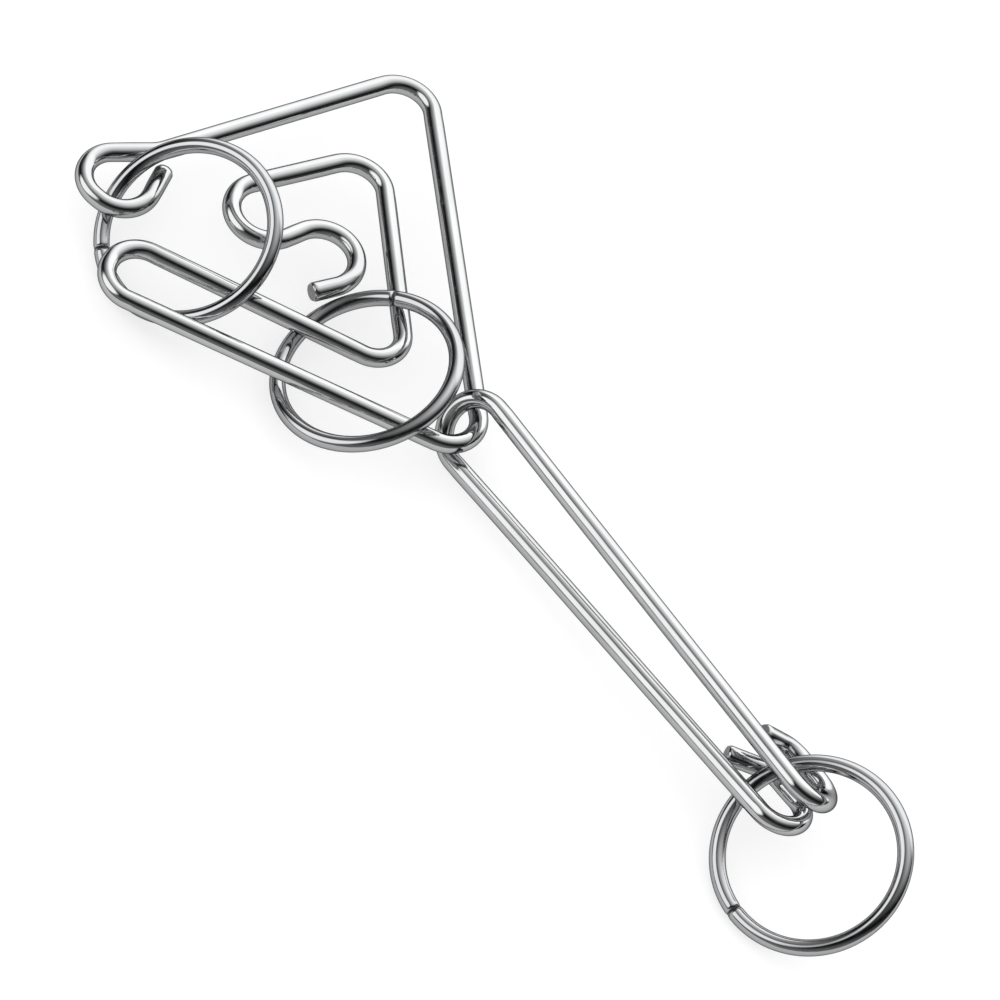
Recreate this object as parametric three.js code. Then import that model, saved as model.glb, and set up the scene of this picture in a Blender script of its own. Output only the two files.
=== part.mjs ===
// Metal ring disentanglement puzzle: five bent wires, linked and lying flat on a table.
// One long frame wire is bent into a triangle that carries an eye, a slot and a hook.
// Two loose rings are threaded on it, and a two-legged shuttle hangs in its bottom corner.
// The shuttle's far end has two eyes, which carry the handle ring.
// Millimetres. X runs along the puzzle, towards the handle ring. Z is up from the table.
import * as THREE from 'three';

// Wires and rings
const FRAME_WIRE = 3.0;
const SHUTTLE_WIRE = 3.0;
const RING_WIRE = 2.5;
const RING_OUTSIDE = 30.0;
const RING_SEAM = 0.3;

// Least space between two wires that lie against each other
const WIRE_GAP = 0.3;

// Frame wire, in the order in which it is bent, from the cut end of the hook
const HOOK_RUN = 4.2;
const CURL_RADIUS = 5.5;
const RIGHT_CURL_TURN = 190.5;
const CURL_LINK_RUN = 2.7;
const LEFT_CURL_TURN = -190;
const INNER_TOP_RUN = 14.3;
const INNER_TOP_TURN = -109;
const INNER_TOP_RADIUS = 5.5;
const INNER_SIDE_RUN = 26.5;
const INNER_CORNER_TURN = -118.5;
const INNER_CORNER_RADIUS = 4.5;
const UPPER_DIAGONAL_RUN = 35;
const SLOT_TURN = 181.5;
const SLOT_RADIUS = 5;
const LOWER_DIAGONAL_RUN = 50.5;
const BOTTOM_CORNER_TURN = 118;
const BOTTOM_CORNER_RADIUS = 5;
const RIGHT_SIDE_RUN = 57;
const TOP_CORNER_RADIUS = 5.5;
const EYE_LEAD_TURN = -18.5;
const EYE_LEAD_RADIUS = 8;
const EYE_LEAD_RUN = 6;
const EYE_FIRST_TURN = 129;
const EYE_RADIUS = 5;
const EYE_FLAT_RUN = 0.8;
const EYE_SECOND_TURN = 109;
const EYE_TIP_RUN = 5.6;
const HOOK_HEADING = 71;

// The eye's middle from the slot's round end, as shares of a ring's middle-line diameter
const EYE_BEYOND_SLOT_SHARE = 0.368;
const EYE_BESIDE_SLOT_SHARE = 0.533;

// Upper ring: through the frame's eye and down through the slot
const UPPER_RING_EYE_SHIFT = 1.3;
const UPPER_RING_CHORD_SHARE = 0.97;
const UPPER_RING_LEAST_LEAN = 34;
const UPPER_RING_SEAM_ANGLE = 244;

// Lower ring: down inside the inner corner and up again outside the lower diagonal
const LOWER_RING_CORNER_REACH = 5;
const LOWER_RING_CORNER_INSET = 3.8;
const LOWER_RING_BEARING = -75;
const LOWER_RING_CHORD_SHARE = 0.966;
const LOWER_RING_LEAST_LEAN = 20;
const LOWER_RING_SEAM_ANGLE = 168;

// Shuttle wire
const NOSE_SPACING = 11.1;
const LEG_RUN = 73.5;
const SHUTTLE_EYE_SPACING = 6;
const SHUTTLE_EYE_STAGGER = 2.2;
const SHUTTLE_EYE_TURN = 180;
const SHUTTLE_EYE_PLAY = 2.7;
const LEFT_EYE_LEAN = 17;
const RIGHT_EYE_LEAN = 0;
const SHUTTLE_EYE_RETURN_RUN = 4;
const LEFT_EYE_CLOSING_TURN = 46;
const RIGHT_EYE_CLOSING_TURN = 60;
const SHUTTLE_EYE_CLOSING_RADIUS = 4;
const SHUTTLE_REACH = 5.3;
const SHUTTLE_SIDE_STEP = 1.4;
const SHUTTLE_YAW = -1.8;
const SHUTTLE_DROP = 3.85;
const SHUTTLE_RISE = 0.7;
const SHUTTLE_LEAST_ROLL = 42;

// Handle ring: through both eyes of the shuttle
const HANDLE_RING_LEFT_DEPTH = 4.8;
const HANDLE_RING_RIGHT_DEPTH = 3.2;
const HANDLE_RING_SEAM_ANGLE = 168;
const HANDLE_RING_SWING = 45;

// Bright chrome plate: its colour and roughness on the bent wires and on the rings
const WIRE_COLOUR = 0xe4e6e8;
const WIRE_ROUGHNESS = 0.1;
const RING_COLOUR = 0xdcdee0;
const RING_ROUGHNESS = 0.12;

// Mesh fineness
const WIRE_SIDES = 12;
const BEND_STEP = 15;
const RING_STATIONS = 48;
const SAMPLE_STEP = 0.8;
const SEARCH_STEP = 0.25;
const ANGLE_PRECISION = 1e-4;
const STATION_PRECISION = 1e-6;
const STEEPEST = 89;
const SQUARE = 90;

const UP = new THREE.Vector3(0, 0, 1);
const X_AXIS = new THREE.Vector3(1, 0, 0);
const ringRadius = (RING_OUTSIDE - RING_WIRE) / 2;
const shuttleEyeRadius = (SHUTTLE_WIRE + RING_WIRE + SHUTTLE_EYE_PLAY) / 2;
const degrees = THREE.MathUtils.degToRad;
const inDegrees = THREE.MathUtils.radToDeg;

// A wire's centre line as a list of points, with its direction at each
class WireCurve extends THREE.Curve {
  constructor(stations) {
    super();
    this.stations = stations;
  }

  getUtoTmapping(u) {
    return u;
  }

  // The stretch that holds t, and how far along that stretch t is
  stretch(t) {
    const place = t * (this.stations.length - 1);
    const index = Math.min(Math.floor(place + STATION_PRECISION), this.stations.length - 2);
    return { from: this.stations[index], to: this.stations[index + 1], share: place - index };
  }

  getPoint(t) {
    const { from, to, share } = this.stretch(t);
    return from.point.clone().lerp(to.point, share);
  }

  getTangent(t) {
    const { from, to, share } = this.stretch(t);
    return from.heading.clone().lerp(to.heading, share).normalize();
  }
}

// Follows a wire as it comes off the bender: straight runs, and bends about an axis
class WireRoute {
  constructor(start, heading) {
    this.point = start.clone();
    this.heading = heading.clone().normalize();
    this.stations = [];
    this.mark();
  }

  mark() {
    this.stations.push({ point: this.point.clone(), heading: this.heading.clone() });
  }

  run(length) {
    this.point.addScaledVector(this.heading, length);
    this.mark();
  }

  // Dips the heading below its level, for a wire that isn't quite flat
  tilt(angle) {
    const axis = UP.clone().cross(this.heading).normalize();
    this.heading.applyAxisAngle(axis, degrees(angle));
  }

  // Turns right-handed about the axis, and returns the bend's centre
  bend(turn, radius, axis) {
    const side = Math.sign(turn);
    const inward = axis.clone().cross(this.heading).normalize().multiplyScalar(side);
    const centre = this.point.clone().addScaledVector(inward, radius);
    const steps = Math.ceil(Math.abs(turn) / BEND_STEP);
    const arm = this.point.clone().sub(centre);
    const startHeading = this.heading.clone();
    for (let i = 1; i <= steps; i += 1) {
      const angle = degrees(turn * i / steps);
      this.point = centre.clone().add(arm.clone().applyAxisAngle(axis, angle));
      this.heading = startHeading.clone().applyAxisAngle(axis, angle);
      this.mark();
    }
    return centre;
  }
}

// A round wire swept along its stations
function wireGeometry(stations, diameter) {
  const section = new THREE.Shape();
  for (let i = 0; i < WIRE_SIDES; i += 1) {
    const angle = 2 * Math.PI * (i + 0.5) / WIRE_SIDES;
    const x = diameter / 2 * Math.cos(angle);
    const y = diameter / 2 * Math.sin(angle);
    if (i === 0) section.moveTo(x, y);
    else section.lineTo(x, y);
  }
  return new THREE.ExtrudeGeometry(section, {
    steps: stations.length - 1,
    extrudePath: new WireCurve(stations),
    curveSegments: 1,
    bevelEnabled: false,
  });
}

// Points along a wire, no further apart than the sample step
function samples(stations) {
  const points = [];
  for (let i = 1; i < stations.length; i += 1) {
    const from = stations[i - 1].point;
    const to = stations[i].point;
    const parts = Math.ceil(from.distanceTo(to) / SAMPLE_STEP);
    for (let k = 0; k < parts; k += 1) {
      points.push(from.clone().lerp(to, k / parts));
    }
  }
  points.push(stations[stations.length - 1].point);
  return points;
}

// Least distance between the centre lines of two wires
function centreDistance(stationsA, stationsB) {
  const points = samples(stationsA);
  const stretch = new THREE.Line3();
  const nearest = new THREE.Vector3();
  let least = Infinity;
  for (let i = 1; i < stationsB.length; i += 1) {
    stretch.set(stationsB[i - 1].point, stationsB[i].point);
    for (const point of points) {
      stretch.closestPointToPoint(point, true, nearest);
      least = Math.min(least, nearest.distanceTo(point));
    }
  }
  return least;
}

// The first angle, in degrees from the least, at which the posed wire clears the other
function firstClearAngle(least, poseAt, other, wireSum) {
  let angle = least;
  while (angle < STEEPEST && centreDistance(poseAt(angle), other) < wireSum / 2 + WIRE_GAP) {
    angle += SEARCH_STEP;
  }
  return angle;
}

// The angle at which a rising function reaches the target
function angleWhere(rising, target, low, high) {
  let below = low;
  let above = high;
  while (above - below > ANGLE_PRECISION) {
    const middle = (below + above) / 2;
    if (rising(middle) < target) below = middle;
    else above = middle;
  }
  return below;
}

// A butt-jointed ring in the plane of along and across, with its seam at an angle from along
function ringStations(centre, along, across, seamAngle) {
  const axis = along.clone().cross(across).normalize();
  const opening = RING_SEAM / ringRadius;
  const stations = [];
  for (let i = 0; i <= RING_STATIONS; i += 1) {
    const angle = degrees(seamAngle) + opening / 2 + (2 * Math.PI - opening) * i / RING_STATIONS;
    const arm = along.clone().normalize().applyAxisAngle(axis, angle);
    stations.push({
      point: centre.clone().addScaledVector(arm, ringRadius),
      heading: axis.clone().cross(arm),
    });
  }
  return stations;
}

// A ring through two points. Its larger part rises by the lean, on the left of the chord.
function ringThrough(start, end, lean, seamAngle) {
  const along = end.clone().sub(start);
  const middle = start.clone().addScaledVector(along, 1 / 2);
  const reach = Math.sqrt(ringRadius ** 2 - along.length() ** 2 / 4);
  along.normalize();
  const across = UP.clone().cross(along).normalize().applyAxisAngle(along, degrees(lean));
  const centre = middle.addScaledVector(across, reach);
  return ringStations(centre, along, across, seamAngle);
}

function headingAt(angle) {
  return new THREE.Vector3(Math.cos(degrees(angle)), Math.sin(degrees(angle)), 0);
}

// Bends the eye at the end of the frame wire, and returns the eye's middle
function bendEye(route) {
  route.bend(EYE_LEAD_TURN, EYE_LEAD_RADIUS, UP);
  route.run(EYE_LEAD_RUN);
  const first = route.bend(EYE_FIRST_TURN, EYE_RADIUS, UP);
  route.run(EYE_FLAT_RUN);
  const second = route.bend(EYE_SECOND_TURN, EYE_RADIUS, UP);
  route.run(EYE_TIP_RUN);
  return first.lerp(second, 1 / 2);
}

// Frame
const frame = new WireRoute(new THREE.Vector3(), headingAt(HOOK_HEADING));
frame.run(HOOK_RUN);
frame.bend(RIGHT_CURL_TURN, CURL_RADIUS, UP);
frame.run(CURL_LINK_RUN);
frame.bend(LEFT_CURL_TURN, CURL_RADIUS, UP);
frame.run(INNER_TOP_RUN);
frame.bend(INNER_TOP_TURN, INNER_TOP_RADIUS, UP);
frame.run(INNER_SIDE_RUN);
const innerCorner = frame.bend(INNER_CORNER_TURN, INNER_CORNER_RADIUS, UP);
const upperDiagonal = frame.heading.clone();
frame.run(UPPER_DIAGONAL_RUN);
const slotEnd = frame.bend(SLOT_TURN, SLOT_RADIUS, UP);
const lowerDiagonal = frame.heading.clone();
frame.run(LOWER_DIAGONAL_RUN);
const bottomCorner = frame.bend(BOTTOM_CORNER_TURN, BOTTOM_CORNER_RADIUS, UP);
const rightSide = frame.heading.clone();
frame.run(RIGHT_SIDE_RUN);

// The top corner's turn and the top side's run bring the eye to its place beside the slot
const eyePlace = slotEnd.clone()
  .addScaledVector(upperDiagonal, 2 * ringRadius * EYE_BEYOND_SLOT_SHARE)
  .addScaledVector(UP.clone().cross(upperDiagonal), -2 * ringRadius * EYE_BESIDE_SLOT_SHARE);
const eyeFromTopSide = bendEye(new WireRoute(new THREE.Vector3(), X_AXIS));
const topCorner = frame.point.clone()
  .addScaledVector(UP.clone().cross(rightSide), TOP_CORNER_RADIUS);
const toEye = eyePlace.clone().sub(topCorner);
const besideCorner = eyeFromTopSide.y - TOP_CORNER_RADIUS;
const alongTop = Math.sqrt(toEye.length() ** 2 - besideCorner ** 2);
const topBearing = Math.atan2(toEye.y, toEye.x) - Math.atan2(besideCorner, alongTop);
const rightBearing = Math.atan2(rightSide.y, rightSide.x);
const topTurn = THREE.MathUtils.euclideanModulo(topBearing - rightBearing, 2 * Math.PI);
frame.bend(inDegrees(topTurn), TOP_CORNER_RADIUS, UP);
const topSide = frame.heading.clone();
frame.run(alongTop - eyeFromTopSide.x);
const eyeMiddle = bendEye(frame);

// Upper ring: one end of its chord is in the eye, the other on the middle line of the slot
const upperChord = 2 * ringRadius * UPPER_RING_CHORD_SHARE;
const inEye = eyeMiddle.clone().addScaledVector(topSide, -UPPER_RING_EYE_SHIFT);
const slotLine = lowerDiagonal.clone().sub(upperDiagonal).normalize();
const toSlotEnd = slotEnd.clone().sub(inEye);
const slotSquare = toSlotEnd.length() ** 2 - upperChord ** 2;
const slotAlong = toSlotEnd.dot(slotLine);
const slotReach = Math.sqrt(slotAlong ** 2 - slotSquare) - slotAlong;
const inSlot = slotEnd.clone().addScaledVector(slotLine, slotReach);
const upperRingAt = (lean) => ringThrough(inEye, inSlot, lean, UPPER_RING_SEAM_ANGLE);
const frameToRing = FRAME_WIRE + RING_WIRE;
const upperLean = firstClearAngle(UPPER_RING_LEAST_LEAN, upperRingAt, frame.stations, frameToRing);
const upperRing = upperRingAt(upperLean);

// Lower ring
const lowerChord = 2 * ringRadius * LOWER_RING_CHORD_SHARE;
const inwards = UP.clone().cross(upperDiagonal).negate();
const inCorner = innerCorner.clone()
  .addScaledVector(upperDiagonal, LOWER_RING_CORNER_REACH)
  .addScaledVector(inwards, LOWER_RING_CORNER_INSET);
const lowerBearing = lowerDiagonal.clone().applyAxisAngle(UP, degrees(LOWER_RING_BEARING));
const outside = inCorner.clone().addScaledVector(lowerBearing, lowerChord);
const lowerRingAt = (lean) => ringThrough(inCorner, outside, lean, LOWER_RING_SEAM_ANGLE);
const lowerLean = firstClearAngle(LOWER_RING_LEAST_LEAN, lowerRingAt, frame.stations, frameToRing);
const lowerRing = lowerRingAt(lowerLean);

// Shuttle, in its own axes: X along the legs, Y across them, Z up from their plane
const legTaper = inDegrees(Math.asin((NOSE_SPACING - SHUTTLE_EYE_SPACING) / 2 / LEG_RUN));
const legWarp = inDegrees(Math.asin(SHUTTLE_EYE_STAGGER / 2 / LEG_RUN));
const shuttlePitch = Math.asin(SHUTTLE_DROP / LEG_RUN);

// The straight run that brings an eye's tip back to its own leg
function closingRun(closingTurn) {
  const angle = degrees(closingTurn);
  const drop = SHUTTLE_EYE_CLOSING_RADIUS * (1 - Math.cos(angle));
  const tipHeight = SHUTTLE_WIRE / 2 * (1 + Math.cos(angle)) + WIRE_GAP;
  return (2 * shuttleEyeRadius - drop - tipHeight) / Math.sin(angle);
}

// Half of the shuttle, from the middle of the nose to the tip of one eye
function shuttleHalf(side, lean, closingTurn, holdDepth) {
  const noseAxis = UP.clone().multiplyScalar(-side);
  const start = new THREE.Vector3(-NOSE_SPACING / 2, 0, 0);
  const route = new WireRoute(start, new THREE.Vector3(0, side, 0));
  route.bend(SQUARE + legTaper, NOSE_SPACING / 2, noseAxis);
  route.tilt(legWarp * side);
  route.run(LEG_RUN);
  const legEnd = route.point.clone();
  const legHeading = route.heading.clone();
  const hanging = UP.clone().negate().applyAxisAngle(X_AXIS, degrees(lean));
  const drop = hanging.addScaledVector(legHeading, -hanging.dot(legHeading)).normalize();
  const eyeAxis = legHeading.clone().cross(drop);
  route.bend(SHUTTLE_EYE_TURN, shuttleEyeRadius, eyeAxis);
  route.run(SHUTTLE_EYE_RETURN_RUN);
  route.bend(closingTurn, SHUTTLE_EYE_CLOSING_RADIUS, eyeAxis);
  route.run(closingRun(closingTurn));
  const hold = legEnd.addScaledVector(legHeading, -holdDepth);
  return { stations: route.stations, hold: hold.addScaledVector(drop, shuttleEyeRadius) };
}

const leftHalf = shuttleHalf(-1, LEFT_EYE_LEAN, LEFT_EYE_CLOSING_TURN, HANDLE_RING_LEFT_DEPTH);
const rightHalf = shuttleHalf(1, RIGHT_EYE_LEAN, RIGHT_EYE_CLOSING_TURN, HANDLE_RING_RIGHT_DEPTH);
const flipped = leftHalf.stations.slice(1).reverse().map((station) => ({
  point: station.point,
  heading: station.heading.clone().negate(),
}));
const shuttleLocal = [...flipped, ...rightHalf.stations];

// Where the shuttle lies: its nose inside the bottom corner, one leg over the frame, one under
const cornerLine = lowerDiagonal.clone().sub(rightSide).normalize();
const shuttleLine = cornerLine.clone().applyAxisAngle(UP, degrees(SHUTTLE_YAW));
const noseCentre = bottomCorner.clone()
  .addScaledVector(cornerLine, SHUTTLE_REACH)
  .addScaledVector(UP.clone().cross(cornerLine), SHUTTLE_SIDE_STEP)
  .addScaledVector(UP, SHUTTLE_RISE);

function shuttlePose(roll) {
  const yaw = Math.atan2(shuttleLine.y, shuttleLine.x);
  const turn = new THREE.Matrix4().makeRotationFromEuler(
    new THREE.Euler(degrees(roll), -shuttlePitch, yaw, 'ZYX'),
  );
  return turn.setPosition(noseCentre);
}

function placed(stations, pose) {
  return stations.map((station) => ({
    point: station.point.clone().applyMatrix4(pose),
    heading: station.heading.clone().transformDirection(pose),
  }));
}

const shuttleAt = (roll) => placed(shuttleLocal, shuttlePose(roll));
const frameToShuttle = FRAME_WIRE + SHUTTLE_WIRE;
const roll = firstClearAngle(SHUTTLE_LEAST_ROLL, shuttleAt, frame.stations, frameToShuttle);
const shuttle = shuttleAt(roll);

// Table level: under the lowest wire
function lowest(stations, diameter) {
  return Math.min(...stations.map((station) => station.point.z)) - diameter / 2;
}

const tableLevel = Math.min(
  lowest(frame.stations, FRAME_WIRE),
  lowest(upperRing, RING_WIRE),
  lowest(lowerRing, RING_WIRE),
  lowest(shuttle, SHUTTLE_WIRE),
);

// Handle ring: its chord passes through the middles of both eyes.
// It swings about that chord until its lowest side lies on the table.
const pose = shuttlePose(roll);
const leftHold = leftHalf.hold.clone().applyMatrix4(pose);
const rightHold = rightHalf.hold.clone().applyMatrix4(pose);
const holdLine = rightHold.clone().sub(leftHold);
const holdMiddle = leftHold.clone().addScaledVector(holdLine, 1 / 2);
const holdReach = Math.sqrt(ringRadius ** 2 - holdLine.length() ** 2 / 4);
const outwards = X_AXIS.clone().transformDirection(pose);
const holdAxis = holdLine.clone().normalize();
const flat = outwards.addScaledVector(holdAxis, -outwards.dot(holdAxis)).normalize();

function handleRingAt(angle) {
  const across = flat.clone().applyAxisAngle(holdAxis, -degrees(angle));
  const centre = holdMiddle.clone().addScaledVector(across, holdReach);
  return ringStations(centre, holdAxis, across, HANDLE_RING_SEAM_ANGLE);
}

const handleHeight = (angle) => lowest(handleRingAt(angle), RING_WIRE);
const handleAngle = angleWhere(handleHeight, tableLevel, -HANDLE_RING_SWING, HANDLE_RING_SWING);
const handleRing = handleRingAt(handleAngle);

function chrome(colour, roughness) {
  return new THREE.MeshStandardMaterial({ color: colour, roughness, metalness: 1 });
}

const puzzle = new THREE.Group();
puzzle.name = 'ring_puzzle';

function addWire(name, stations, diameter, material) {
  const mesh = new THREE.Mesh(wireGeometry(stations, diameter), material);
  mesh.name = name;
  puzzle.add(mesh);
  return mesh;
}

addWire('frame_wire', frame.stations, FRAME_WIRE, chrome(WIRE_COLOUR, WIRE_ROUGHNESS));
addWire('upper_ring', upperRing, RING_WIRE, chrome(RING_COLOUR, RING_ROUGHNESS));
addWire('lower_ring', lowerRing, RING_WIRE, chrome(RING_COLOUR, RING_ROUGHNESS));
addWire('shuttle_wire', shuttle, SHUTTLE_WIRE, chrome(WIRE_COLOUR, WIRE_ROUGHNESS));
addWire('handle_ring', handleRing, RING_WIRE, chrome(RING_COLOUR, RING_ROUGHNESS));

// Origin: on the table, under the middle of the whole puzzle
const box = new THREE.Box3().setFromObject(puzzle, true);
const middle = box.getCenter(new THREE.Vector3());
puzzle.position.set(-middle.x, -middle.y, -box.min.z);

export default puzzle;
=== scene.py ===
import math

import bpy
import numpy as np
from mathutils import Matrix, Vector


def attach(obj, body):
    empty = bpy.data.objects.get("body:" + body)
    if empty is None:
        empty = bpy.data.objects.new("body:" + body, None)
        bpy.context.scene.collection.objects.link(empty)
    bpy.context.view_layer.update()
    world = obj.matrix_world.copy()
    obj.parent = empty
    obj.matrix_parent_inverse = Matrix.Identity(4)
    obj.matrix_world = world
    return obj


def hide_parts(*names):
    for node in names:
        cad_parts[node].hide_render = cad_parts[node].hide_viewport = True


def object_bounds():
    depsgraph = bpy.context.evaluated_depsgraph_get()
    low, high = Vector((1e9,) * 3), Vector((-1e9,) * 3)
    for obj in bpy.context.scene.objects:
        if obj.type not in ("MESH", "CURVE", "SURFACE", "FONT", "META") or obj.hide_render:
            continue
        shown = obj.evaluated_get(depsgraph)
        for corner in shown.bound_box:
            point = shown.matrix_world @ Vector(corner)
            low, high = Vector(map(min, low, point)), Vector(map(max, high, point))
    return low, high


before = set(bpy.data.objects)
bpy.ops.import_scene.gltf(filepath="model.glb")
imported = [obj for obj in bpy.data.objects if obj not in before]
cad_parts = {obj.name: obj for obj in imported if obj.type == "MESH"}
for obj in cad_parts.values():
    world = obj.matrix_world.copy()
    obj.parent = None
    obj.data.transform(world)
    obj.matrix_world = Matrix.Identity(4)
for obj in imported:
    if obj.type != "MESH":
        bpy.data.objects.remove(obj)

CAD_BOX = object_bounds()

# The wires: node, body, record slot, and how the ends are finished
WIRES = {
    "frame_wire": {"body": "frame", "slot": "wire", "ends": "cut"},
    "upper_ring": {"body": "upper_ring", "slot": "ring", "ends": "butt"},
    "lower_ring": {"body": "lower_ring", "slot": "ring", "ends": "butt"},
    "shuttle_wire": {"body": "shuttle", "slot": "wire", "ends": "cut"},
    "handle_ring": {"body": "handle", "slot": "ring", "ends": "butt"},
}
CAD_SIDES = 12
SIDES = 48
ROUND = np.arange(SIDES) * 2 * math.pi / SIDES
STEP = 0.0005            # metres of wire between two sections of the visual mesh
BROKEN_EDGE = {"cut": 0.00022, "butt": 0.000066}       # radius of the edge round a flat end
END_RINGS = 3            # rings of faces on a flat end
END_SWELL = 0.00006      # how uneven a sheared end is
END_RISE = 0.00002       # how far its middle stands out

SAME_POINT = 1e-6        # metres
SAME_PLANE = 0.99999     # cosine between the normals of two faces
NO_TURN = 1e-12


# ---------------------------------------------------------------- centre lines from the CAD

def merged(mesh):
    """Distinct vertex positions, and the faces over them."""
    seen, index, points = {}, [], []
    for v in mesh.vertices:
        key = tuple(round(c / SAME_POINT) for c in v.co)
        if key not in seen:
            seen[key] = len(points)
            points.append(np.array(v.co, float))
        index.append(seen[key])
    faces = [[index[i] for i in p.vertices] for p in mesh.polygons]
    return np.array(points), faces


def end_cap(points, faces):
    """The vertices of one flat end: adjoining faces in one plane, with a corner for each side."""
    normals, at_edge = [], {}
    for f, face in enumerate(faces):
        a, b, c = (points[i] for i in face[:3])
        n = np.cross(b - a, c - a)
        size = np.linalg.norm(n)
        normals.append(n / size if size > 0 else n)
        for i, j in zip(face, face[1:] + face[:1]):
            at_edge.setdefault(frozenset((i, j)), []).append(f)
    group_of = {}
    for f in range(len(faces)):
        if f in group_of:
            continue
        group, todo = [], [f]
        group_of[f] = f
        while todo:
            g = todo.pop()
            group.append(g)
            face = faces[g]
            for i, j in zip(face, face[1:] + face[:1]):
                for h in at_edge[frozenset((i, j))]:
                    if h not in group_of and normals[g] @ normals[h] > SAME_PLANE:
                        group_of[h] = f
                        todo.append(h)
        corners = sorted({i for g in group for i in faces[g]})
        if len(corners) == CAD_SIDES:
            return corners
    raise RuntimeError("no flat end found")


def centre_line(node):
    """The wire's sections in order: centre, direction and radius of each."""
    points, faces = merged(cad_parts[node].data)
    near = {}
    for face in faces:
        for i in face:
            near.setdefault(i, set()).update(face)
    layer = set(end_cap(points, faces))
    used = set(layer)
    layers = [layer]
    while True:
        ahead = set().union(*(near[i] for i in layer)) - used
        if not ahead:
            break
        used |= ahead
        layers.append(ahead)
        layer = ahead
    centres = np.array([points[sorted(k)].mean(axis=0) for k in layers])
    radius = float(np.mean([np.linalg.norm(points[i] - centres[0]) for i in layers[0]]))
    directions = []
    for k, centre in enumerate(centres):
        section = points[sorted(layers[k])] - centre
        normal = np.linalg.svd(section)[2][2]
        ahead = centres[min(k + 1, len(centres) - 1)] - centres[max(k - 1, 0)]
        directions.append(normal if normal @ ahead > 0 else -normal)
    return centres, np.array(directions), radius


def smooth_line(centres, directions, step):
    """Stations on the curve that passes each section square, and the lengths along it."""
    spots, heads = [], []
    for k in range(len(centres) - 1):
        a, b = centres[k], centres[k + 1]
        chord = np.linalg.norm(b - a)
        parts = max(2, math.ceil(chord / step))
        s = np.arange(parts) / parts
        if k == len(centres) - 2:
            s = np.append(s, 1.0)
        s = s[:, None]
        ma, mb = directions[k] * chord, directions[k + 1] * chord
        spot = ((2 * s**3 - 3 * s**2 + 1) * a + (s**3 - 2 * s**2 + s) * ma
                + (3 * s**2 - 2 * s**3) * b + (s**3 - s**2) * mb)
        head = ((6 * s**2 - 6 * s) * a + (3 * s**2 - 4 * s + 1) * ma
                + (6 * s - 6 * s**2) * b + (3 * s**2 - 2 * s) * mb)
        spots.append(spot)
        heads.append(head / np.linalg.norm(head, axis=1)[:, None])
    spots, heads = np.vstack(spots), np.vstack(heads)
    along = np.concatenate([[0], np.cumsum(np.linalg.norm(np.diff(spots, axis=0), axis=1))])
    return spots, heads, along


def carried_frames(heads):
    """Two directions across the wire at each station, carried along without twist."""
    first = np.cross(heads[0], [0.0, 0.0, 1.0])
    first /= np.linalg.norm(first)
    across = [first]
    for a, b in zip(heads[:-1], heads[1:]):
        v = across[-1]
        axis = np.cross(a, b)
        s = np.linalg.norm(axis)
        if s > NO_TURN:
            turn = Matrix.Rotation(math.atan2(s, float(a @ b)), 3, Vector(axis / s))
            v = np.array(turn @ Vector(v))
        v = v - (v @ b) * b
        across.append(v / np.linalg.norm(v))
    across = np.array(across)
    return across, np.cross(heads, across)


# ---------------------------------------------------------------- wire meshes

PRESS = 0.035            # how much a sharp bend flattens the wire
SHARP = 0.3              # the wire's radius over the bend's, where flattening is full
STRAIGHT = 1e-6          # curvature, per metre, below which a wire is straight
BEND_SHARE = 0.25        # a bend is where the wire curves more than this share of its sharpest
AVERAGED = 5             # stations that the curvature is averaged over
MARK_DEPTH = 0.00006     # the bender's pins: a shallow flat on the outside at each bend's ends
MARK_LENGTH = 0.0009
MARK_NARROWNESS = 6      # how quickly a mark fades round the wire
MARK_LEAST = 0.01        # share of a mark's depth below which it is left out


def bends(heads, along, ends):
    """The wire's curvature at each station, its averaged size, and where the pins left marks."""
    bend = np.gradient(heads, along, axis=0)
    padded = np.pad(np.linalg.norm(bend, axis=1), AVERAGED // 2, mode="edge")
    sharp = np.convolve(padded, np.ones(AVERAGED) / AVERAGED, mode="valid")
    curved = sharp > BEND_SHARE * sharp.max()
    marks = []
    if ends == "cut":
        for k in np.flatnonzero(curved[1:] != curved[:-1]):
            inside = bend[k + 1] if curved[k + 1] else bend[k]
            marks.append((along[k], -inside / np.linalg.norm(inside)))
    return bend, sharp, marks


def sections(spots, heads, along, radius, ends):
    """Rows of vertices round the wire: pressed in bends, marked by pins, closing in at the ends."""
    across, up = carried_frames(heads)
    bend, sharp, marks = bends(heads, along, ends)
    edge = BROKEN_EDGE[ends]
    cos, sin = np.cos(ROUND), np.sin(ROUND)
    rows = []
    for k in range(len(spots)):
        arms = cos[:, None] * across[k] + sin[:, None] * up[k]
        r = np.full(SIDES, radius)
        if sharp[k] > STRAIGHT:
            side = arms @ (bend[k] / max(np.linalg.norm(bend[k]), NO_TURN))
            press = PRESS * min(1.0, sharp[k] * radius / SHARP)
            r = r * (1 - press * side**2)
        for place, outward in marks:
            fall = math.exp(-((along[k] - place) / MARK_LENGTH)**2)
            if fall > MARK_LEAST:
                r = r - MARK_DEPTH * fall * np.clip(arms @ outward, 0, 1)**MARK_NARROWNESS
        from_end = min(along[k], along[-1] - along[k])
        if from_end < edge:
            r = r - (edge - math.sqrt(edge**2 - (edge - from_end)**2))
        rows.append(spots[k] + arms * r[:, None])
    return rows


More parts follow.
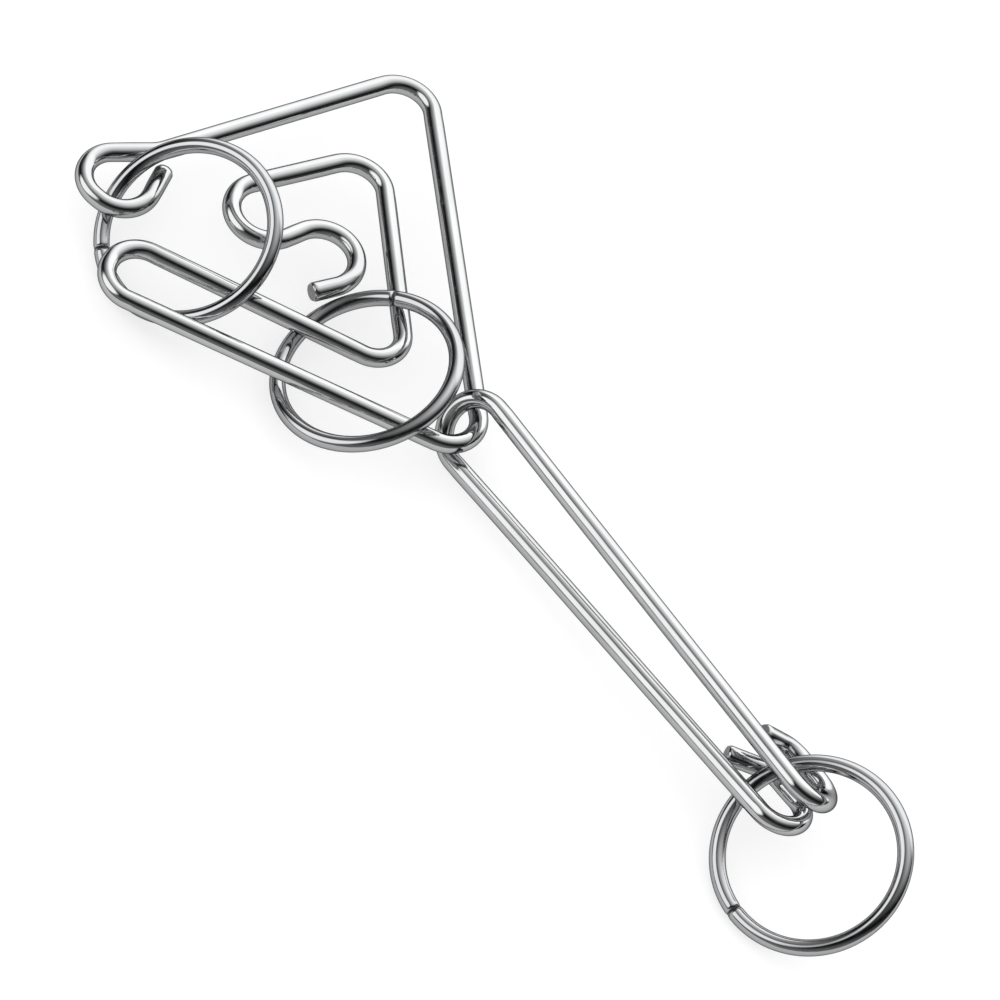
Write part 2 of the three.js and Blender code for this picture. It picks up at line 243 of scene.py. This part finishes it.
def flat_end(points, rim, centre, out):
    """Adds a flat end's vertices inside the rim, and returns its faces as seen from within."""
    arms = np.array([points[i] for i in rim]) - centre
    rings = [rim]
    for q in range(1, END_RINGS + 1):
        share = 1 - q / (END_RINGS + 1)
        rings.append(range(len(points), len(points) + SIDES))
        for arm, angle in zip(arms, ROUND):
            swell = END_SWELL * math.sin(2 * angle + q) * (1 - share)
            points.append(centre + arm * share + out * swell)
    middle = len(points)
    points.append(centre + out * END_RISE)
    faces = []
    for outer, inner in zip(rings, rings[1:]):
        for j in range(SIDES):
            i = (j + 1) % SIDES
            faces.append((outer[i], outer[j], inner[j], inner[i]))
    for j in range(SIDES):
        faces.append((rings[-1][(j + 1) % SIDES], rings[-1][j], middle))
    return faces


def wire_mesh(name, node, ends):
    centres, directions, radius = centre_line(node)
    spots, heads, along = smooth_line(centres, directions, STEP)
    rows = sections(spots, heads, along, radius, ends)
    points = list(np.vstack(rows))
    last = len(rows) - 1
    faces, uvs = [], []
    for k in range(last):
        for j in range(SIDES):
            i = (j + 1) % SIDES
            here, ahead = k * SIDES, (k + 1) * SIDES
            faces.append((here + j, here + i, ahead + i, ahead + j))
            u0, u1 = j / SIDES, (j + 1) / SIDES
            v0, v1 = along[k], along[k + 1]
            uvs += [(u0, v0), (u1, v0), (u1, v1), (u0, v1)]
    kinds = [0] * len(faces)
    for end, out in ((0, -heads[0]), (last, heads[-1])):
        rim = range(end * SIDES, (end + 1) * SIDES)
        for j, face in enumerate(flat_end(points, rim, spots[end], out)):
            faces.append(face if end == 0 else face[::-1])
            uvs += [(j % SIDES / SIDES, 0.0)] * len(face)
            kinds.append(1)
    mesh = bpy.data.meshes.new(name)
    mesh.from_pydata([tuple(p) for p in points], [], faces)
    layer = mesh.uv_layers.new(name="wire")
    layer.data.foreach_set("uv", np.array(uvs, float).ravel())
    mesh.polygons.foreach_set("material_index", kinds)
    mesh.polygons.foreach_set("use_smooth", [k == 0 for k in kinds])
    mesh.update()
    return mesh


# ---------------------------------------------------------------- materials

# Noise scales count cells per metre. The draw lines' scale is in the wire's own coordinates.
LINES_SCALE = (38, 55, 1)
LINES_BUMP = (0.22, 0.00006)      # strength, and height in metres
WAVES_SCALE = 120
WAVES_BUMP = (0.10, 0.0005)
SCUFFS_SCALE = 420
SCUFFS_DULL = [(0.50, 0.0), (0.72, 0.10)]
FILM_SCALE = 60
FILM_DULL = 2.2                   # how much rougher the plate is where the film is thick
FILM_SHADE = 0.9
EDGE_TINT = (0.08, 0.083, 0.087)
GRAIN_SCALE = 1800
GRAIN_COLOURS = [(0.3, (0.24, 0.24, 0.25)), (0.7, (0.40, 0.40, 0.41))]
GRAIN_ROUGHNESS = [(0.3, 0.38), (0.7, 0.55)]
SHEAR_SCALE = 900
SHEAR_BUMP = (0.35, 0.0001)


def nodes_of(material):
    material.use_nodes = True
    tree = material.node_tree
    shader = next(n for n in tree.nodes if n.type == "BSDF_PRINCIPLED")
    return tree, shader


def add(tree, kind, **values):
    node = tree.nodes.new(kind)
    for key, value in values.items():
        setattr(node, key, value)
    return node


def ramp(tree, source, stops):
    """Colours or grey values over places from 0 to 1."""
    node = add(tree, "ShaderNodeValToRGB")
    tree.links.new(source, node.inputs["Fac"])
    elements = node.color_ramp.elements
    elements.remove(elements[-1])
    for i, (place, value) in enumerate(stops):
        element = elements[0] if i == 0 else elements.new(place)
        element.position = place
        element.color = (*value, 1) if isinstance(value, tuple) else (value, value, value, 1)
    return node.outputs["Color"]


def noise(tree, source, scale, detail, distortion=0.0):
    node = add(tree, "ShaderNodeTexNoise")
    node.inputs["Scale"].default_value = scale
    node.inputs["Detail"].default_value = detail
    node.inputs["Distortion"].default_value = distortion
    tree.links.new(source, node.inputs["Vector"])
    return node.outputs["Fac"]


def bump(tree, height, shape, under=None):
    node = add(tree, "ShaderNodeBump")
    node.inputs["Strength"].default_value, node.inputs["Distance"].default_value = shape
    tree.links.new(height, node.inputs["Height"])
    if under:
        tree.links.new(under, node.inputs["Normal"])
    return node.outputs["Normal"]


def chrome_material(name, tint, rough, seed):
    """Bright plate over drawn wire: draw lines along it, handling scuffs, and soft waves."""
    material = bpy.data.materials.new(name)
    tree, shader = nodes_of(material)
    link = tree.links.new
    coords = add(tree, "ShaderNodeTexCoord")
    # the wire's own coordinates: once round it, and metres along it
    stretch = add(tree, "ShaderNodeMapping")
    stretch.inputs["Scale"].default_value = LINES_SCALE
    stretch.inputs["Location"].default_value = (seed, seed * 2.7, 0)
    link(coords.outputs["UV"], stretch.inputs["Vector"])
    lines = noise(tree, stretch.outputs["Vector"], 1.0, 4)
    waves = noise(tree, coords.outputs["Object"], WAVES_SCALE, 1)
    scuffs = noise(tree, coords.outputs["Object"], SCUFFS_SCALE, 6, 1.5)
    film = noise(tree, coords.outputs["Object"], FILM_SCALE, 3)
    # roughness: a mirror, duller in scuffs and under a thin film of handling
    dull = add(tree, "ShaderNodeMath", operation="ADD")
    link(ramp(tree, scuffs, SCUFFS_DULL), dull.inputs[0])
    link(ramp(tree, film, [(0.35, rough), (0.70, rough * FILM_DULL)]), dull.inputs[1])
    link(dull.outputs[0], shader.inputs["Roughness"])
    # colour: cool plate, a shade deeper where the film lies
    deep = tuple(c * FILM_SHADE for c in tint)
    link(ramp(tree, film, [(0.40, tint), (0.75, deep)]), shader.inputs["Base Color"])
    shader.inputs["Metallic"].default_value = 1.0
    shader.inputs["Specular Tint"].default_value = (*EDGE_TINT, 1)
    # bump: long soft waves of bent wire, then the fine draw lines
    soft = bump(tree, waves, WAVES_BUMP)
    link(bump(tree, lines, LINES_BUMP, soft), shader.inputs["Normal"])
    return material


def cut_material(name):
    """Sheared steel with thin plate over it: dull, grey and grainy."""
    material = bpy.data.materials.new(name)
    tree, shader = nodes_of(material)
    link = tree.links.new
    coords = add(tree, "ShaderNodeTexCoord")
    grain = noise(tree, coords.outputs["Object"], GRAIN_SCALE, 6)
    shear = add(tree, "ShaderNodeTexWave")
    shear.inputs["Scale"].default_value = SHEAR_SCALE
    shear.inputs["Distortion"].default_value = 6
    link(coords.outputs["Object"], shear.inputs["Vector"])
    link(ramp(tree, grain, GRAIN_COLOURS), shader.inputs["Base Color"])
    link(ramp(tree, grain, GRAIN_ROUGHNESS), shader.inputs["Roughness"])
    shader.inputs["Metallic"].default_value = 1.0
    link(bump(tree, shear.outputs["Fac"], SHEAR_BUMP), shader.inputs["Normal"])
    return material


MATERIALS = {
    "wire": chrome_material("chrome_wire", (0.60, 0.605, 0.61), 0.03, 3.1),
    "ring": chrome_material("chrome_ring", (0.52, 0.525, 0.535), 0.035, 8.4),
}
CUT = cut_material("cut_steel")

for node, facts in WIRES.items():
    name = node + "_chromed"
    piece = bpy.data.objects.new(name, wire_mesh(name, node, facts["ends"]))
    bpy.context.scene.collection.objects.link(piece)
    piece.data.materials.append(MATERIALS[facts["slot"]])
    piece.data.materials.append(CUT)
    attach(piece, facts["body"])
    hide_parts(node)


# ---------------------------------------------------------------- studio

FLOOR_REACH = 8          # the floor's half side, in lengths of the puzzle
FLOOR_DROP = 0.0003      # space between the floor and the lowest wire
FLOOR_GREY = 0.45
FLOOR_ROUGHNESS = 0.9
FLOOR_SPECULAR = 0.1
FLOOR_GLOW = 0.6         # the table is backlit, so that shadows on it stay faint
FLOOR_GLOW_MIRRORED = 0.28          # its glow as the wires reflect it
VIEW_AZIMUTH = math.radians(-63.23)
VIEW_ELEVATION = math.radians(53.13)
VIEW_ROLL = math.radians(23.58)
VIEW_DISTANCE = 0.84
VIEW_WIDTH = 0.1486      # what the picture spans at that distance
AIM_FROM_MIDDLE = Vector((-0.0018, -0.0096, -0.0021))
SENSOR_MM = 36
CLIP = (0.01, 20)

# The studio's lights: azimuth and elevation in degrees. An edge gives the cosines from the
# light's middle at which it begins and is full, and then its strength.
DOME_STRENGTH = 1.12
OVERHEAD = (98, 55.6)
OVERHEAD_STRENGTH = 1.7
# cosine from the overhead light's middle, and the share of its strength there
OVERHEAD_FADE = [(-1.0, 0.11), (-0.55, 0.13), (-0.28, 0.15), (0.0, 0.07), (0.22, 0.012),
                 (0.34, 0.004), (0.42, 0.014), (0.56, 0.085), (0.66, 0.19), (0.76, 0.34),
                 (0.90, 0.62), (1.0, 1.0)]
BACK_WALL = (105, 20)
BACK_WALL_EDGE = (0.60, 0.84, 2.1)
LEFT_LIGHT = (-130, 32)
LEFT_LIGHT_EDGE = (0.86, 0.95, 1.9)

low, high = (Vector(c) for c in CAD_BOX)
middle = (low + high) / 2
length = high.x - low.x


def towards(azimuth, elevation):
    return Vector((math.cos(elevation) * math.cos(azimuth),
                   math.cos(elevation) * math.sin(azimuth), math.sin(elevation)))


reach = FLOOR_REACH * length
floor_mesh = bpy.data.meshes.new("floor")
floor_mesh.from_pydata([(-reach, -reach, 0), (reach, -reach, 0), (reach, reach, 0),
                        (-reach, reach, 0)], [], [(0, 1, 2, 3)])
floor = bpy.data.objects.new("floor", floor_mesh)
floor.location.z = low.z - FLOOR_DROP
bpy.context.scene.collection.objects.link(floor)
pale = bpy.data.materials.new("pale_floor")
tree, shader = nodes_of(pale)
shader.inputs["Base Color"].default_value = (FLOOR_GREY, FLOOR_GREY, FLOOR_GREY, 1)
shader.inputs["Emission Color"].default_value = (1, 1, 1, 1)
glows = add(tree, "ShaderNodeMapRange")
tree.links.new(add(tree, "ShaderNodeLightPath").outputs["Is Glossy Ray"], glows.inputs["Value"])
glows.inputs["To Min"].default_value = FLOOR_GLOW
glows.inputs["To Max"].default_value = FLOOR_GLOW_MIRRORED
tree.links.new(glows.outputs["Result"], shader.inputs["Emission Strength"])
shader.inputs["Roughness"].default_value = FLOOR_ROUGHNESS
shader.inputs["Specular IOR Level"].default_value = FLOOR_SPECULAR
floor.data.materials.append(pale)

# Camera: a long lens, looking down steeply, and rolled
back = towards(VIEW_AZIMUTH, VIEW_ELEVATION)
level = Vector((-math.sin(VIEW_AZIMUTH), math.cos(VIEW_AZIMUTH), 0))
right = level * math.cos(VIEW_ROLL) + back.cross(level) * math.sin(VIEW_ROLL)
camera_data = bpy.data.cameras.new("camera")
camera_data.sensor_width = SENSOR_MM
camera_data.lens = SENSOR_MM * VIEW_DISTANCE / VIEW_WIDTH
camera_data.clip_start, camera_data.clip_end = CLIP
camera = bpy.data.objects.new("camera", camera_data)
turn = Matrix((right, back.cross(right), back)).transposed()
place = middle + AIM_FROM_MIDDLE + back * VIEW_DISTANCE
camera.matrix_world = Matrix.Translation(place) @ turn.to_4x4()
bpy.context.scene.collection.objects.link(camera)
bpy.context.scene.camera = camera

# Light: an even white dome for the floor. The polished wires reflect the studio itself: a broad
# light overhead that fades into the dark, a white wall behind, and a smaller light on the left
world = bpy.data.worlds.new("studio")
bpy.context.scene.world = world
world.use_nodes = True
tree = world.node_tree
link = tree.links.new
dome = next(n for n in tree.nodes if n.type == "BACKGROUND")
dome.inputs["Color"].default_value = (1, 1, 1, 1)
dome.inputs["Strength"].default_value = DOME_STRENGTH
direction = add(tree, "ShaderNodeTexCoord").outputs["Generated"]


def facing(azimuth, elevation):
    """The cosine between a direction in the sky and this azimuth and elevation, in degrees."""
    node = add(tree, "ShaderNodeVectorMath", operation="DOT_PRODUCT")
    link(direction, node.inputs[0])
    node.inputs[1].default_value = towards(math.radians(azimuth), math.radians(elevation))
    return node.outputs["Value"]


def glow(source, edge, full, strength):
    node = add(tree, "ShaderNodeMapRange", interpolation_type="SMOOTHSTEP")
    link(source, node.inputs["Value"])
    for key, value in zip(("From Min", "From Max", "To Min", "To Max"), (edge, full, 0, strength)):
        node.inputs[key].default_value = value
    return node.outputs["Result"]


def joined(a, b, operation):
    node = add(tree, "ShaderNodeMath", operation=operation)
    for socket, value in zip(node.inputs, (a, b)):
        if isinstance(value, float):
            socket.default_value = value
        else:
            link(value, socket)
    return node.outputs[0]


half_turned = joined(joined(facing(*OVERHEAD), 0.5, "MULTIPLY"), 0.5, "ADD")
fade = ramp(tree, half_turned, [((t + 1) / 2, level) for t, level in OVERHEAD_FADE])
overhead = joined(fade, OVERHEAD_STRENGTH, "MULTIPLY")
wall = glow(facing(*BACK_WALL), *BACK_WALL_EDGE)
left = glow(facing(*LEFT_LIGHT), *LEFT_LIGHT_EDGE)
studio = add(tree, "ShaderNodeBackground")
link(joined(joined(overhead, wall, "MAXIMUM"), left, "MAXIMUM"), studio.inputs["Strength"])
which = add(tree, "ShaderNodeMixShader")
link(add(tree, "ShaderNodeLightPath").outputs["Is Glossy Ray"], which.inputs[0])
link(dome.outputs[0], which.inputs[1])
link(studio.outputs[0], which.inputs[2])
link(which.outputs[0], next(n for n in tree.nodes if n.type == "OUTPUT_WORLD").inputs["Surface"])

bpy.context.scene.view_settings.view_transform = "Standard"
